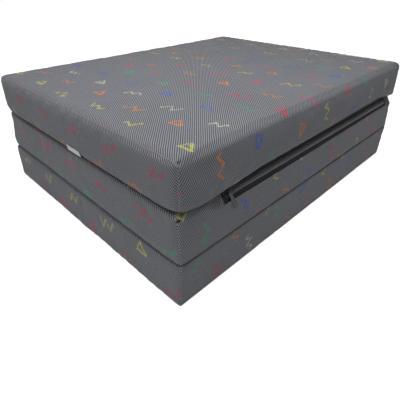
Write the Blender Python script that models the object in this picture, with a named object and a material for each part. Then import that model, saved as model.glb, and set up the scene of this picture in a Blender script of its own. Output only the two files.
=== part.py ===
# Folding mattress: three foam panels in sewn fabric covers, stacked in a Z fold.
# Metres, +Z up. X runs along the fold lines and Y across them; the front is -Y.
# The origin is the middle of the base of the stack.

import math

import bmesh
import bpy

# Overall sizes
laid_out_length = 1.90
mattress_width = 0.80
panel_thickness = 0.09
panel_count = 3

# Fits between pieces
clearance = 0.0003
mating_setback = clearance / 2

# Cloth walls
wrap_wall = 0.0012
gusset_wall = 0.0012

# Swell of the filled covers
top_crown = 0.004
end_crown = 0.003
side_crown = 0.004
crown_power = 3

# Edge roundings of the covers
base_edge_radius = 0.010
hinge_edge_radius = 0.0035
crease_front_radius = 0.009
crease_back_radius = 0.013
soft_edge_radius = 0.016
back_tip_radius = 0.007
end_edge_radius = 0.0035
soft_end_radius = 0.007
least_radius = 0.0008

# Where, on the rounding between a side and an end, the gusset is sewn to the wrap and
# where the rounding runs into the swell of the end
seam_degrees = 45
dome_degrees = 70

# The front faces of the two lower covers fall back from the fold line, which leaves
# the hanging pull its room when the mattress lies flat
front_recess = 0.0035

# Zipper band on the middle panel, a facet across its upper front edge
zip_drop = 0.028
zip_tilt_degrees = 30
zip_band_fillet = 0.005
zip_window = 0.025
zip_start = 0.103
zip_end_margin = 0.022
zip_lead = 0.007
zip_blend_length = 0.050
zip_plain_edge_radius = 0.012

# Zipper chain and tapes
chain_width = 0.008
chain_split = 0.0016
chain_height = 0.0022
chain_edge_bevel = 0.0006
tape_thickness = 0.0006
tape_tuck = 0.0018
stop_length = 0.002
stop_setback = 0.001
stop_bevel = 0.0004

# Slider
slider_length = 0.014
slider_nose_width = 0.0128
slider_tail_width = 0.0106
slider_plate = 0.0012
slider_keel_width = 0.0104
slider_post_length = 0.0032
slider_corner = 0.0018
bail_wire = 0.0014
bail_span = 0.0072
bail_slack = 0.0002
bail_bend = 0.0016
bail_root = 0.0006

# Pull
pull_length = 0.032
pull_width = 0.0086
pull_head_radius = 0.0031
pull_eye_radius = 0.00135
pull_thickness = 0.0010
pull_corner = 0.0022
pull_neck_length = 0.0075
pull_taper_length = 0.0050
pull_edge_bevel = 0.0002
pull_lean_degrees = 13.5
pull_rest_swing_degrees = 20

# Care label
label_length = 0.048
label_rise = 0.0115
label_foot = 0.0020
label_leaf = 0.0004
label_fold_gap = 0.0003
label_centre = 0.294
label_stand_off = 0.0004

# Counts of facets
arc_steps = 6
tube_sides = 10
bead_sides = 16
fillet_steps = 2

# Where the outline and the length of a cover carry points, as shares
crown_stations_shares = (0.0, 0.02, 0.08, 0.2, 0.35, 0.5, 0.65, 0.8, 0.92, 0.98, 1.0)
zip_stations_shares = (0.25, 0.5, 0.75)
broad_face_shares = (0.03, 0.1, 0.25, 0.5, 0.75, 0.9, 0.97)
end_face_shares = (0.15, 0.5, 0.85)
widest_lip_share = 0.395
end_arc_shares = (0.35, 0.7, 1.0)
gusset_arc_shares = (0.0, 0.5, 1.0)
dome_inset_shares = (0.32, 0.50, 0.70)
dome_rise_shares = (0.72, 0.93, 1.0)
bevel_arc_shares = (0.0, 0.12, 0.25, 0.35, 0.65, 0.75, 0.88, 1.0)

# Sizes that follow from the ones above
fold_pitch = laid_out_length / panel_count
front_plane = -fold_pitch / 2
back_plane = fold_pitch / 2
side_plane = mattress_width / 2
core_inset = wrap_wall + clearance
seam_bead_radius = (hinge_edge_radius + mating_setback) * math.sqrt(2) - hinge_edge_radius - clearance
zip_left = -side_plane + zip_start
zip_right = side_plane - zip_end_margin
zip_band_from = zip_left - zip_lead
tape_top = -wrap_wall - clearance
tape_bottom = tape_top - tape_thickness
chain_bottom = tape_top + clearance
chain_top = chain_bottom + chain_height
keel_top = tape_bottom - clearance
keel_bottom = keel_top - slider_plate
crown_bottom = chain_top + clearance
crown_top = crown_bottom + slider_plate
zip_channel = -keel_bottom + clearance
slider_rest = zip_left + stop_setback + stop_length + clearance + slider_length / 2
slider_far = zip_right - stop_setback - stop_length - clearance - slider_length / 2
slider_travel = slider_far - slider_rest
zip_tilt = math.radians(zip_tilt_degrees)
zip_depth = zip_drop * math.tan(zip_tilt)
pull_to_band = zip_tilt - math.radians(pull_lean_degrees)
pull_pivot_height = crown_top + clearance + pull_thickness / 2 + slider_nose_width / 2 * math.tan(pull_to_band)
pull_head_top = pull_pivot_height + pull_head_radius * math.sin(pull_to_band) + pull_thickness / 2
bail_axis_height = pull_head_top + clearance + bail_slack + bail_wire / 2


def clear_scene():
    for thing in list(bpy.data.objects):
        bpy.data.objects.remove(thing, do_unlink=True)


def make_material(name, colour, roughness, metallic):
    material = bpy.data.materials.new(name)
    material.use_nodes = True
    shader = material.node_tree.nodes["Principled BSDF"]
    shader.inputs["Base Color"].default_value = (*colour, 1.0)
    shader.inputs["Roughness"].default_value = roughness
    shader.inputs["Metallic"].default_value = metallic
    return material


def make_empty(name, location, parent):
    empty = bpy.data.objects.new(name, None)
    bpy.context.scene.collection.objects.link(empty)
    empty.location = location
    empty.parent = parent
    return empty


def finish_object(name, bm, material, parent, location):
    bmesh.ops.recalc_face_normals(bm, faces=bm.faces)
    mesh = bpy.data.meshes.new(name)
    bm.to_mesh(mesh)
    bm.free()
    mesh.materials.append(material)
    mesh.shade_smooth()
    mesh.set_sharp_from_angle(angle=math.radians(35))
    thing = bpy.data.objects.new(name, mesh)
    bpy.context.scene.collection.objects.link(thing)
    thing.parent = parent
    thing.location = location
    return thing


def swell(share):
    """1 in the middle of a face and 0 at its edges, flat in between as a tight cover is."""
    return 1 - abs(2 * share - 1) ** crown_power


def arc(centre_y, centre_z, radius, first, last):
    points = []
    for step in range(arc_steps + 1):
        angle = math.radians(first + (last - first) * step / arc_steps)
        points.append((centre_y + radius * math.cos(angle), centre_z + radius * math.sin(angle)))
    return points


def bevel_corner(y_front, z_top, inset, blend, deepen):
    """The zipped edge: a plain rounding that turns into the zipper's band as blend goes from 0 to 1."""
    radius = max(zip_plain_edge_radius - inset, least_radius)
    plain = []
    for share in bevel_arc_shares:
        angle = math.radians(180 - 90 * share)
        plain.append((y_front + radius + radius * math.cos(angle), z_top - radius + radius * math.sin(angle)))
    steepness = math.hypot(1 / zip_drop, 1 / zip_depth)
    kept = 1 + (inset + deepen) * steepness - inset / zip_drop - inset / zip_depth
    lower = (y_front, z_top - kept * zip_drop)
    upper = (y_front + kept * zip_depth, z_top)
    uphill = (math.sin(zip_tilt), math.cos(zip_tilt))
    downhill = (-uphill[0], -uphill[1])
    fillet = max(zip_band_fillet - inset, least_radius)
    lower_fillet = fillet_points(lower, (0, -1), uphill, fillet * math.tan(zip_tilt / 2))
    upper_fillet = fillet_points(upper, downhill, (1, 0), fillet * math.tan(math.pi / 4 - zip_tilt / 2))
    middle = ((lower[0] + upper[0]) / 2, (lower[1] + upper[1]) / 2)
    reach = min(zip_window / 2, math.dist(lower, upper) * widest_lip_share)
    lips = [(middle[0] + reach * way[0], middle[1] + reach * way[1]) for way in (downhill, uphill)]
    band = lower_fillet + lips + upper_fillet
    return [
        (p[0] + (b[0] - p[0]) * blend, p[1] + (b[1] - p[1]) * blend)
        for p, b in zip(plain, band, strict=True)
    ]


def fillet_points(corner, back_along, ahead_along, tangent):
    """Three points of a small rounding between two lines that meet at the corner."""
    start = (corner[0] + back_along[0] * tangent, corner[1] + back_along[1] * tangent)
    end = (corner[0] + ahead_along[0] * tangent, corner[1] + ahead_along[1] * tangent)
    middle = (
        (start[0] + end[0] + 2 * corner[0]) / 4,
        (start[1] + end[1] + 2 * corner[1]) / 4,
    )
    return [start, middle, end]


def smooth_step(value):
    held = min(max(value, 0.0), 1.0)
    return held * held * (3 - 2 * held)


class Panel:
    """One filled cover: its faces in Y and Z, its four edge roundings and where it swells."""

    def __init__(self, name, level, faces, radii, end_radius, crowns, recesses, zipped):
        self.name = name
        self.level = level
        self.end_radius = end_radius
        self.recess_low, self.recess_high = recesses
        self.y_front, self.y_back, self.z_low, self.z_high = faces
        self.front_low, self.front_high, self.back_low, self.back_high = radii
        self.crown_front, self.crown_back, self.crown_top = crowns
        self.zipped = zipped

    def zip_blend(self, x):
        """0 on the plain stretch of the zipped edge and 1 along the zipper."""
        if not self.zipped:
            return 0.0
        return smooth_step((x - zip_band_from + zip_blend_length) / zip_blend_length)

    def outline(self, x, inset, deepen=0.0, faces_between=True):
        """The panel's section at x, drawn in by inset all round, as a ring of (y, z)."""
        y0, y1 = self.y_front + inset, self.y_back - inset
        z0, z1 = self.z_low + inset, self.z_high - inset
        reach = self.straight_reach()
        along = swell((x + reach) / (2 * reach)) if faces_between and abs(x) < reach else 0.0
        rounding = [
            max(r - inset, least_radius)
            for r in (self.front_low, self.front_high, self.back_high, self.back_low)
        ]
        fl, fh, bh, bl = rounding
        ring = arc(y0 + self.recess_low + fl, z0 + fl, fl, -90, -180)
        front_top = z1 - fh
        if self.zipped:
            corner = bevel_corner(y0 + self.recess_high, z1, inset, self.zip_blend(x), deepen)
            front_top = corner[0][1]
        else:
            corner = arc(y0 + self.recess_high + fh, z1 - fh, fh, 180, 90)
        if faces_between and self.crown_front:
            for share in end_face_shares:
                z = z0 + fl + (front_top - z0 - fl) * share
                ring.append((y0 - self.crown_front * swell(share) * along, z))
        self.lip_index = len(ring) + len(bevel_arc_shares) // 2 - 1
        ring += corner
        if faces_between and self.crown_top:
            for share in broad_face_shares:
                y = corner[-1][0] + (y1 - bh - corner[-1][0]) * share
                ring.append((y, z1 + self.crown_top * swell(share) * along))
        ring += arc(y1 - bh, z1 - bh, bh, 90, 0)
        if faces_between and self.crown_back:
            for share in end_face_shares:
                z = z1 - bh + (z0 + bl - z1 + bh) * share
                ring.append((y1 + self.crown_back * swell(share) * along, z))
        ring += arc(y1 - bl, z0 + bl, bl, 0, -90)
        return ring

    def straight_reach(self):
        """How far from the middle the rounding into the end starts."""
        return side_plane - self.end_radius

    def stations(self):
        """Where along X the straight part of the cover carries a ring of points."""
        reach = self.straight_reach()
        if not self.zipped:
            return [-reach + 2 * reach * share for share in crown_stations_shares]
        blend_from = zip_band_from - zip_blend_length
        places = [-reach, blend_from, blend_from + zip_blend_length / 2, zip_band_from, zip_left]
        places += [zip_left + (zip_right - zip_left) * share for share in zip_stations_shares]
        return places + [zip_right, reach]

    def end_rings(self, depth, first, last, shares):
        """(x, inset) of rings on the rounding into the end, at this depth under the outside of the cloth."""
        radius = self.end_radius - depth
        rings = []
        for share in shares:
            angle = math.radians(first + (last - first) * share)
            x = side_plane - self.end_radius + radius * math.sin(angle)
            rings.append((x, self.end_radius - radius * math.cos(angle)))
        return rings

    def dome_rings(self, depth):
        """(x, inset) of the rings on the swell of the end, from its edge to its middle."""
        rings = []
        for inset_share, rise_share in zip(dome_inset_shares, dome_rise_shares):
            rings.append((side_plane - depth + side_crown * rise_share, inset_share * panel_thickness / 2))
        return rings

    def seam_gap_degrees(self):
        """Half of the gap between wrap and gusset, as an angle on the rounding."""
        return math.degrees(clearance / 2 / (self.end_radius - wrap_wall))

    def wrap_rings(self, depth):
        """(x, inset) of every ring of the wrap, from one end seam to the other."""
        last = seam_degrees - self.seam_gap_degrees()
        rounding = self.end_rings(depth, 0, last, end_arc_shares)
        return mirrored(rounding) + [(x, depth) for x in self.stations()] + rounding

    def gusset_rings(self, depth):
        """(x, inset) of every ring of a gusset, from its seam to its middle."""
        first = seam_degrees + self.seam_gap_degrees()
        return self.end_rings(depth, first, dome_degrees, gusset_arc_shares) + self.dome_rings(depth)

    def core_rings(self):
        """(x, inset) of every ring of the foam, from end to end."""
        end = self.end_rings(core_inset, 0, dome_degrees, end_arc_shares) + self.dome_rings(core_inset)
        return mirrored(end) + [(x, core_inset) for x in self.stations()] + end


def mirrored(rings):
    """The same rings at the left end, from the outside in."""
    return [(-x, inset) for x, inset in reversed(rings)]


def ring_of(bm, x, outline):
    return [bm.verts.new((x, y, z)) for y, z in outline]


def skin(bm, rings, left_out=()):
    """Quads between neighbouring rings, apart from the (station, point) pairs left out."""
    for station, (near, far) in enumerate(zip(rings, rings[1:])):
        for point in range(len(near)):
            if (station, point) in left_out:
                continue
            after = (point + 1) % len(near)
            bm.faces.new((near[point], near[after], far[after], far[point]))


def make_wrap(panel, material, parent, location):
    """The long strip of cloth round the panel, open at both ends, with a window for the zipper."""
    bm = bmesh.new()
    outside = panel.wrap_rings(0)
    outer = [ring_of(bm, x, panel.outline(x, inset)) for x, inset in outside]
    inner = [ring_of(bm, x, panel.outline(x, inset)) for x, inset in panel.wrap_rings(wrap_wall)]
    window = []
    if panel.zipped:
        lip = panel.lip_index
        window = [
            (station, lip)
            for station, (x, inset) in enumerate(outside)
            if zip_left <= x < zip_right
        ]
    skin(bm, outer, window)
    skin(bm, inner, window)
    skin(bm, [outer[0], inner[0]])
    skin(bm, [outer[-1], inner[-1]])
    if window:
        first, last = window[0][0], window[-1][0] + 1
        for station in range(first, last):
            for point in (lip, lip + 1):
                bm.faces.new((
                    outer[station][point], outer[station + 1][point],
                    inner[station + 1][point], inner[station][point],
                ))
        for station in (first, last):
            bm.faces.new((
                outer[station][lip], outer[station][lip + 1],
                inner[station][lip + 1], inner[station][lip],
            ))
    return finish_object("cover_wrap_" + panel.name, bm, material, parent, location)


def make_core(panel, material, parent, location):
    """The foam block, a gap inside the cloth, with swollen ends and room behind the zipper."""
    bm = bmesh.new()
    deepen = zip_channel - core_inset if panel.zipped else 0.0
    rings = [ring_of(bm, x, panel.outline(x, inset, deepen)) for x, inset in panel.core_rings()]
    skin(bm, rings)
    bm.faces.new(rings[0])
    bm.faces.new(rings[-1])
    return finish_object("foam_core_" + panel.name, bm, material, parent, location)


def make_gusset(panel, side, material, parent, location):
    """The cloth that closes one end of the wrap, swelling out between its seams."""
    bm = bmesh.new()
    sign = 1 if side == "right" else -1
    outer = []
    inner = []
    for rings, depth in ((outer, 0), (inner, gusset_wall)):
        for x, inset in panel.gusset_rings(depth):
            rings.append(ring_of(bm, sign * x, panel.outline(sign * x, inset, faces_between=False)))
    skin(bm, outer)
    skin(bm, inner)
    skin(bm, [outer[0], inner[0]])
    bm.faces.new(outer[-1])
    bm.faces.new(inner[-1])
    name = "side_gusset_" + side + "_" + panel.name
    return finish_object(name, bm, material, parent, location)


def make_hinge_seam(name, material, parent, location):
    """The sewn bead that joins two covers. It lies on the fold's axis, so both covers turn round it."""
    bm = bmesh.new()
    near = []
    far = []
    for side in range(bead_sides):
        angle = 2 * math.pi * side / bead_sides
        y = seam_bead_radius * math.cos(angle)
        z = seam_bead_radius * math.sin(angle)
        near.append(bm.verts.new((-side_plane + end_edge_radius, y, z)))
        far.append(bm.verts.new((side_plane - end_edge_radius, y, z)))
    skin(bm, [near, far])
    bm.faces.new(near)
    bm.faces.new(far)
    return finish_object(name, bm, material, parent, location)


def prism_along_x(bm, x_from, x_to, outline):
    """A bar with the given (y, z) section."""
    near = ring_of(bm, x_from, outline)
    far = ring_of(bm, x_to, outline)
    skin(bm, [near, far])
    bm.faces.new(near)
    bm.faces.new(far)


def block_outline(y_from, y_to, z_from, z_to):
    return [(y_from, z_from), (y_to, z_from), (y_to, z_to), (y_from, z_to)]


def bevelled_block_outline(y_from, y_to, z_from, z_to, bevel):
    """A block section whose two upper corners are cut."""
    return [
        (y_from, z_from),
        (y_to, z_from),
        (y_to, z_to - bevel),
        (y_to - bevel, z_to),
        (y_from + bevel, z_to),
        (y_from, z_to - bevel),
    ]


def make_tape(name, sign, material, parent):
    """One woven tape, from beside the chain to under the lip of the cover."""
    bm = bmesh.new()
    near_edge = sign * chain_split / 2
    far_edge = sign * (zip_window / 2 + tape_tuck)
    prism_along_x(bm, zip_left, zip_right, block_outline(near_edge, far_edge, tape_bottom, tape_top))
    return finish_object(name, bm, material, parent, (0, 0, 0))


def make_chain(name, sign, material, parent):
    """One row of the coil, as a bar with rounded shoulders on its tape."""
    bm = bmesh.new()
    first = zip_left + stop_setback + stop_length + clearance
    last = zip_right - stop_setback - stop_length - clearance
    edges = sorted((sign * chain_split / 2, sign * chain_width / 2))
    outline = bevelled_block_outline(*edges, chain_bottom, chain_top, chain_edge_bevel)
    prism_along_x(bm, first, last, outline)
    return finish_object(name, bm, material, parent, (0, 0, 0))


def make_stop(name, x_from, y_from, y_to, material, parent):
    """A crimped metal stop that the slider comes up against."""
    bm = bmesh.new()
    edges = sorted((y_from, y_to))
    outline = bevelled_block_outline(*edges, chain_bottom, chain_top, stop_bevel)
    prism_along_x(bm, x_from, x_from + stop_length, outline)
    return finish_object(name, bm, material, parent, (0, 0, 0))


def rounded_plan(points, radius):
    """A plan outline with each corner of the given polygon rounded by fillet_steps."""
    result = []
    count = len(points)
    for index, corner in enumerate(points):
        before = points[index - 1]
        after = points[(index + 1) % count]
        start = towards(corner, before, radius)
        end = towards(corner, after, radius)
        for step in range(fillet_steps + 1):
            t = step / fillet_steps
            result.append((
                start[0] * (1 - t) ** 2 + 2 * corner[0] * t * (1 - t) + end[0] * t ** 2,
                start[1] * (1 - t) ** 2 + 2 * corner[1] * t * (1 - t) + end[1] * t ** 2,
            ))
    return result


def towards(start, goal, distance):
    length = math.dist(start, goal)
    return tuple(a + (b - a) * distance / length for a, b in zip(start, goal))


def plate(bm, plan, z_from, z_to):
    """A flat plate with the given (x, y) plan."""
    low = [bm.verts.new((x, y, z_from)) for x, y in plan]
    high = [bm.verts.new((x, y, z_to)) for x, y in plan]
    skin(bm, [low, high])
    bm.faces.new(low)
    bm.faces.new(high)


def tube(bm, centres, radius):
    """A round wire in the XZ plane through the given (x, z) centres."""
    rings = []
    for index, (x, z) in enumerate(centres):
        before = centres[max(index - 1, 0)]
        after = centres[min(index + 1, len(centres) - 1)]
        run = math.dist(before, after)
        normal = (-(after[1] - before[1]) / run, (after[0] - before[0]) / run)
        ring = []
        for side in range(tube_sides):
            angle = 2 * math.pi * side / tube_sides
            out = radius * math.cos(angle)
            across = radius * math.sin(angle)
            ring.append(bm.verts.new((x + normal[0] * out, across, z + normal[1] * out)))
        rings.append(ring)
    skin(bm, rings)
    bm.faces.new(rings[0])
    bm.faces.new(rings[-1])


def bail_path():
    """The bail's centre line: two legs and a bar, with round bends between them."""
    leg = bail_span / 2
    foot = crown_top - bail_root
    top = bail_axis_height
    path = [(-leg, foot)]
    for step in range(arc_steps + 1):
        angle = math.radians(180 - 90 * step / arc_steps)
        path.append((
            -leg + bail_bend + bail_bend * math.cos(angle),
            top - bail_bend + bail_bend * math.sin(angle),
        ))
    return path + [(-x, z) for x, z in reversed(path)]


def helper(name, bm, parent):
    """A hidden shape that a Boolean joins to another or cuts from it."""
    bmesh.ops.recalc_face_normals(bm, faces=bm.faces)
    mesh = bpy.data.meshes.new(name)
    bm.to_mesh(mesh)
    bm.free()
    thing = bpy.data.objects.new(name, mesh)
    bpy.context.scene.collection.objects.link(thing)
    thing.parent = parent
    thing.hide_render = True
    thing.display_type = "WIRE"
    return thing


def boolean(thing, other, operation):
    modifier = thing.modifiers.new(operation.title() + "_" + other.name, "BOOLEAN")
    modifier.operation = operation
    modifier.solver = "EXACT"
    modifier.object = other


def make_slider(material, parent):
    """The zipper slider: two plates joined by the wedge post, side flanges over the chain, and the bail."""
    nose, tail = -slider_length / 2, slider_length / 2
    wide, narrow = slider_nose_width / 2, slider_tail_width / 2
    keel = slider_keel_width / 2
    crown_plan = rounded_plan([(nose, -wide), (tail, -narrow), (tail, narrow), (nose, wide)], slider_corner)
    keel_plan = rounded_plan([(nose, -keel), (tail, -keel), (tail, keel), (nose, keel)], slider_corner)
    bm = bmesh.new()
    plate(bm, crown_plan, crown_bottom, crown_top)
    slider = finish_object("zipper_slider", bm, material, parent, (0, 0, 0))
    parts = []
    overlap = slider_plate / 2

    bm = bmesh.new()
    plate(bm, keel_plan, keel_bottom, keel_top)
    parts.append(helper("slider_keel", bm, parent))

    bm = bmesh.new()
    post = (chain_split / 2) - clearance
    post_end = nose + slider_corner + slider_post_length
    post_plan = [(nose + slider_corner, -post), (post_end, 0), (nose + slider_corner, post)]
    plate(bm, post_plan, keel_top - overlap, crown_bottom + overlap)
    parts.append(helper("slider_post", bm, parent))

    inside = chain_width / 2 + clearance
    for sign, label in ((1, "upper"), (-1, "lower")):
        bm = bmesh.new()
        flange_plan = [
            (nose + slider_corner, sign * inside),
            (tail - slider_corner, sign * inside),
            (tail - slider_corner, sign * (narrow - stop_bevel)),
            (nose + slider_corner, sign * (wide - stop_bevel)),
        ]
        plate(bm, flange_plan, chain_bottom, crown_bottom + overlap)
        parts.append(helper("slider_flange_" + label, bm, parent))

    bm = bmesh.new()
    tube(bm, bail_path(), bail_wire / 2)
    parts.append(helper("slider_bail", bm, parent))

    for part in parts:
        boolean(slider, part, "UNION")
    return slider


def make_pull(material, parent):
    """The pull tab: a flat plate that hangs along its own -Y, with a round eye on one leg of the bail."""
    half = pull_width / 2
    neck_end = -pull_neck_length
    body_start = neck_end - pull_taper_length
    tip = rounded_plan([
        (half, body_start), (half, -pull_length), (-half, -pull_length), (-half, body_start),
    ], pull_corner)
    tip = tip[fillet_steps + 1:-fillet_steps - 1]
    head = []
    for step in range(2 * arc_steps + 1):
        angle = math.pi * step / (2 * arc_steps)
        head.append((pull_head_radius * math.cos(angle), pull_head_radius * math.sin(angle)))
    neck = pull_head_radius
    outline = head + [(-neck, neck_end), (-half, body_start)] + tip[::-1] + [(half, body_start), (neck, neck_end)]
    bm = bmesh.new()
    plate(bm, outline, -pull_thickness / 2, pull_thickness / 2)
    pull = finish_object("zipper_pull", bm, material, parent, (0, 0, 0))

    bm = bmesh.new()
    eye = []
    for side in range(bead_sides):
        angle = 2 * math.pi * side / bead_sides
        eye.append((pull_eye_radius * math.cos(angle), pull_eye_radius * math.sin(angle)))
    plate(bm, eye, -pull_thickness, pull_thickness)
    boolean(pull, helper("pull_eye", bm, parent), "DIFFERENCE")
    bevel = pull.modifiers.new("Edge_bevel", "BEVEL")
    bevel.width = pull_edge_bevel
    bevel.segments = 1
    bevel.limit_method = "ANGLE"
    bevel.angle_limit = math.radians(60)
    return pull


def make_label(panel, material, parent):
    """A folded woven label: two leaves that rise from the seam, lie on the lower slope of
    the panel's left end and meet in a fold above."""
    bm = bmesh.new()
    outside = 2 * label_leaf + label_fold_gap
    fold_inside = label_rise - label_leaf
    outline = [
        (0, 0),
        (0, label_rise),
        (outside - label_leaf, label_rise),
        (outside, fold_inside),
        (outside, 0),
        (label_leaf + label_fold_gap, 0),
        (label_leaf + label_fold_gap, fold_inside),
        (label_leaf, fold_inside),
        (label_leaf, 0),
    ]
    near = [bm.verts.new((-x, -label_length / 2, z)) for x, z in outline]
    far = [bm.verts.new((-x, label_length / 2, z)) for x, z in outline]
    skin(bm, [near, far])
    bm.faces.new(near)
    bm.faces.new(far)
    (x_low, inset_low), (x_high, inset_high) = panel.gusset_rings(0)[-len(dome_inset_shares) - 1:][:2]
    lean = math.atan2(x_high - x_low, inset_high - inset_low)
    x = -x_low - label_stand_off * math.cos(lean) + label_foot * math.sin(lean)
    z = panel.z_low + inset_low - label_stand_off * math.sin(lean) - label_foot * math.cos(lean)
    label = finish_object("care_label", bm, material, parent, (x, front_plane + label_centre - back_plane, z))
    label.rotation_euler = (0, -lean, 0)
    return label


def build():
    clear_scene()
    cloth = make_material("cover_cloth", (0.105, 0.105, 0.115), 0.85, 0.0)
    foam = make_material("foam", (0.86, 0.80, 0.62), 0.95, 0.0)
    thread = make_material("seam_cloth", (0.085, 0.085, 0.092), 0.9, 0.0)
    tape = make_material("zipper_tape", (0.012, 0.012, 0.014), 0.8, 0.0)
    coil = make_material("zipper_coil", (0.05, 0.05, 0.055), 0.35, 0.0)
    metal = make_material("zipper_metal", (0.16, 0.16, 0.17), 0.35, 0.9)
    label = make_material("label_cloth", (0.62, 0.64, 0.64), 0.9, 0.0)

    root = make_empty("bottom_panel_origin", (0, 0, 0), None)
    lower_fold = make_empty("lower_fold_axis", (0, front_plane, panel_thickness), root)
    upper_fold = make_empty("upper_fold_axis", (0, fold_pitch, panel_thickness), lower_fold)

    bottom = Panel(
        "bottom", 0,
        (front_plane + mating_setback, back_plane, 0, panel_thickness - mating_setback),
        (base_edge_radius, hinge_edge_radius, base_edge_radius, back_tip_radius), end_edge_radius,
        (0, end_crown, 0), (front_recess, 0), False,
    )
    middle = Panel(
        "middle", 1,
        (front_plane + mating_setback, back_plane - mating_setback,
         mating_setback, panel_thickness - mating_setback),
        (hinge_edge_radius, zip_plain_edge_radius, crease_back_radius, hinge_edge_radius), end_edge_radius,
        (0, 0, 0), (0, front_recess), True,
    )
    top = Panel(
        "top", 2,
        (front_plane, back_plane - mating_setback, mating_setback, panel_thickness),
        (crease_front_radius, soft_edge_radius, hinge_edge_radius, soft_edge_radius), soft_end_radius,
        (end_crown, 0, top_crown), (0, 0), False,
    )
    for panel, parent in ((bottom, root), (middle, lower_fold), (top, upper_fold)):
        location = (0, {0: 0, 1: -front_plane, 2: -back_plane}[panel.level], 0)
        make_wrap(panel, cloth, parent, location)
        make_core(panel, foam, parent, location)
        make_gusset(panel, "left", cloth, parent, location)
        make_gusset(panel, "right", cloth, parent, location)

    make_hinge_seam("hinge_seam_lower", thread, root, (0, front_plane, panel_thickness))
    make_hinge_seam("hinge_seam_upper", thread, lower_fold, (0, fold_pitch, panel_thickness))

    band_y = mating_setback + front_recess + zip_depth / 2
    band_z = panel_thickness - mating_setback - zip_drop / 2
    band = make_empty("zipper_band_plane", (0, band_y, band_z), lower_fold)
    band.rotation_euler = (math.pi / 2 - zip_tilt, 0, 0)
    make_tape("zipper_tape_upper", 1, tape, band)
    make_tape("zipper_tape_lower", -1, tape, band)
    make_chain("zipper_chain_upper", 1, coil, band)
    make_chain("zipper_chain_lower", -1, coil, band)
    chain_half = chain_width / 2
    make_stop("zipper_top_stop_upper", zip_left + stop_setback, chain_split / 2, chain_half, metal, band)
    make_stop("zipper_top_stop_lower", zip_left + stop_setback, -chain_half, -chain_split / 2, metal, band)
    make_stop("zipper_bottom_stop", zip_right - stop_setback - stop_length, -chain_half, chain_half, metal, band)
    travel = make_empty("slider_travel", (slider_rest, 0, 0), band)
    make_slider(metal, travel)
    pivot = make_empty("pull_pivot", (bail_span / 2, 0, pull_pivot_height), travel)
    pivot.rotation_mode = "ZYX"
    pivot.rotation_euler = (pull_to_band, 0, math.radians(pull_rest_swing_degrees))
    make_pull(metal, pivot)

    make_label(top, label, upper_fold)


build()
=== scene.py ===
# The looks of the folding mattress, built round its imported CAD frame: sewn covers, foam,
# hinge seams, zipper and label, with their materials, a floor, lights and the camera.
# Metres, +Z up. X runs along the fold lines and Y across them; the front is -Y.

import copy
import math

import bmesh
import bpy
import numpy as np
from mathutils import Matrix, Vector
from mathutils.kdtree import KDTree


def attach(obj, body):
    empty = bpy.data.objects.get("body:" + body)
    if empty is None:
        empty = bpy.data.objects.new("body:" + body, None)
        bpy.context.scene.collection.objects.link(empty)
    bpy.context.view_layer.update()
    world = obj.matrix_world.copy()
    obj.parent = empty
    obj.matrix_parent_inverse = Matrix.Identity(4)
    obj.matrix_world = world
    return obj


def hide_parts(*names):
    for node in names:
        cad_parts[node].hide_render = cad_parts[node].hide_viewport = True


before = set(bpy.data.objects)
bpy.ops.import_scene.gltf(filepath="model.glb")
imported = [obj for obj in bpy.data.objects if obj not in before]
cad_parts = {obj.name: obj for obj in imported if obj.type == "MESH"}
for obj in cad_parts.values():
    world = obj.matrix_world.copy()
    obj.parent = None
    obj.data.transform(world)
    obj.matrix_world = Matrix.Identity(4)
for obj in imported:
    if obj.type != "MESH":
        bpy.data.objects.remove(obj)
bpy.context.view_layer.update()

# Sizes that the CAD gives
front_plane = -0.316667
back_plane = 0.316667
side_plane = 0.40
panel_thickness = 0.09
mating_setback = 0.00015
top_crown = 0.004
end_crown = 0.003
side_crown = 0.004
front_recess = 0.0035
base_edge_radius = 0.010
hinge_edge_radius = 0.0035
crease_front_radius = 0.009
crease_back_radius = 0.013
soft_edge_radius = 0.016
back_tip_radius = 0.007
soft_end_radius = 0.007
tight_end_radius = 0.0024
drawn_end_radius = 0.0060
least_radius = 0.0006

# Softer forms than the CAD's
base_front_radius = 0.005
right_corner_share = 0.40
least_rounding = 0.0005
corner_fade = 2.3
gap_depth = 0.0010
gap_length = 0.012
gap_height = 0.003

# The zipper's band on the middle cover
zip_left = -0.297
zip_right = 0.378
zip_band_from = -0.304
zip_drop = 0.028
zip_tilt = math.radians(30)
zip_depth = zip_drop * math.tan(zip_tilt)
zip_fillet = 0.005
zip_plain_radius = 0.012
zip_blend_length = 0.050
zip_lip = 0.0125
zip_fold_radius = 0.0006
zip_under = 0.0147
zip_floor = 0.0041
slot_ramp = 0.0008
right_tip_radius = 0.006
right_tip_margin = 0.0015
right_tip_length = 0.017
right_tip_places = (0.3815, 0.3842, 0.3868, 0.3895, 0.3921, 0.3948)

# Room for the pull tab past the zipper's right end
pull_room = 0.0020
pull_half_width = 0.0082
pull_room_slope = 4

# Rings of the covers' mesh
cloth_step = 0.0055
end_degrees = (73, 66, 57, 50, 45, 40, 33, 24, 12)
seam_degrees = 45
corner_steps = 4
least_ring_gap = 0.0004

# Where a cover lies on a neighbour or meets one, and where it stays flat
lie_depth = 0.004
meet_front = 0.010
meet_back = 0.005
flat_height = 0.006
flat_half_width = 0.0175
flat_margin = 0.008

# Sewing
seam_share = 0.17
seam_spread = 8.0
stitch_pitch = 0.0050
stitch_length = 0.0034
stitch_radius = 0.00042

# The top cover's front edge lifts off the zipper: its radius at places along X
lift_places = (-0.34, -0.295, -0.20, 0.10, 0.34, 0.392)
lift_radii = (0.006, 0.010, 0.019, 0.024, 0.027, 0.009)

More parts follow.
